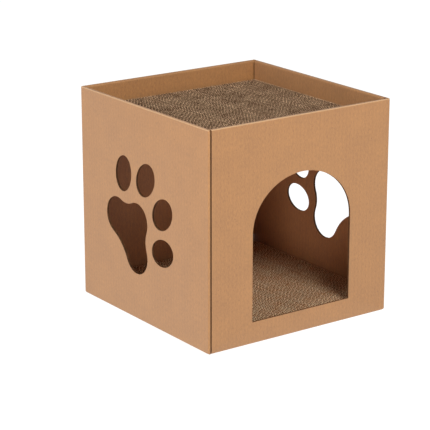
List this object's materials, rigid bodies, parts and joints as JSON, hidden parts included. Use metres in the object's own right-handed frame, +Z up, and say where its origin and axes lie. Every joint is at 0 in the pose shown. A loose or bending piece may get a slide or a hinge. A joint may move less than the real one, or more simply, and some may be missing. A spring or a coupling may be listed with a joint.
{
  "type": "cardboard cat house",
  "caption": "Cube-shaped cat house of folded corrugated board with an arched door, paw-shaped side windows, a floor scratch pad and a scratch pad in a roof tray.",
  "frame": {"origin": "centre of the house's footprint, on the floor it stands on", "axes": "+Z up, -Y out of the door, +X to the right as one faces the door, +Y along the 305 mm depth"},
  "size_m": [0.3, 0.305, 0.3],
  "materials": {
    "outer_board": "matt kraft paper liner",
    "flap_board": "matt kraft paper liner",
    "scratch_pad": "cut flute ends of glued corrugated strips"
  },
  "bodies": {
    "house_shell": {"front_wall": "outer_board", "back_wall": "outer_board", "front_rim_liner": "outer_board", "back_rim_liner": "outer_board", "front_shelf_flap": "flap_board", "back_shelf_flap": "flap_board"},
    "left_side": {"left_wall": "outer_board", "left_rim_liner": "outer_board", "left_shelf_flap": "flap_board"},
    "right_side": {"right_wall": "outer_board", "right_rim_liner": "outer_board", "right_shelf_flap": "flap_board"},
    "left_tuck": {"left_tuck_flap": "flap_board"},
    "right_tuck": {"right_tuck_flap": "flap_board"},
    "front_bottom": {"front_bottom_flap": "flap_board"},
    "back_bottom": {"back_bottom_flap": "flap_board"},
    "left_bottom": {"left_bottom_flap": "flap_board"},
    "right_bottom": {"right_bottom_flap": "flap_board"},
    "floor_pad": {"lower_scratch_pad": "scratch_pad"},
    "roof_pad": {"upper_scratch_pad": "scratch_pad"}
  },
  "joints": [
    {"name": "left_side_swing", "type": "hinge", "parent": "house_shell", "child": "left_side", "pos_m": [-0.15, 0.1525, 0], "axis": [0, 0, -1], "range_deg": [0, 90]},
    {"name": "right_side_swing", "type": "hinge", "parent": "house_shell", "child": "right_side", "pos_m": [0.15, -0.1525, 0], "axis": [0, 0, -1], "range_deg": [0, 90]},
    {"name": "left_tuck_fold", "type": "hinge", "parent": "left_side", "child": "left_tuck", "pos_m": [-0.1467, -0.14419, 0.135], "axis": [0, 0, 1], "range_deg": [0, 90]},
    {"name": "right_tuck_fold", "type": "hinge", "parent": "right_side", "child": "right_tuck", "pos_m": [0.1467, 0.14419, 0.135], "axis": [0, 0, 1], "range_deg": [0, 90]},
    {"name": "front_bottom_fold", "type": "hinge", "parent": "house_shell", "child": "front_bottom", "pos_m": [0, -0.1525, 0], "axis": [-1, 0, 0], "range_deg": [0, 90]},
    {"name": "back_bottom_fold", "type": "hinge", "parent": "house_shell", "child": "back_bottom", "pos_m": [0, 0.1525, 0], "axis": [1, 0, 0], "range_deg": [0, 90]},
    {"name": "left_bottom_fold", "type": "hinge", "parent": "left_side", "child": "left_bottom", "pos_m": [-0.15, 0, 0], "axis": [0, 1, 0], "range_deg": [0, 90]},
    {"name": "right_bottom_fold", "type": "hinge", "parent": "right_side", "child": "right_bottom", "pos_m": [0.15, 0, 0], "axis": [0, -1, 0], "range_deg": [0, 90]},
    {"name": "floor_pad_lift", "type": "slide", "parent": "house_shell", "child": "floor_pad", "axis": [0, 0, 1], "range_m": [0, 0.2]},
    {"name": "roof_pad_lift", "type": "slide", "parent": "house_shell", "child": "roof_pad", "axis": [0, 0, 1], "range_m": [0, 0.1]}
  ]
}
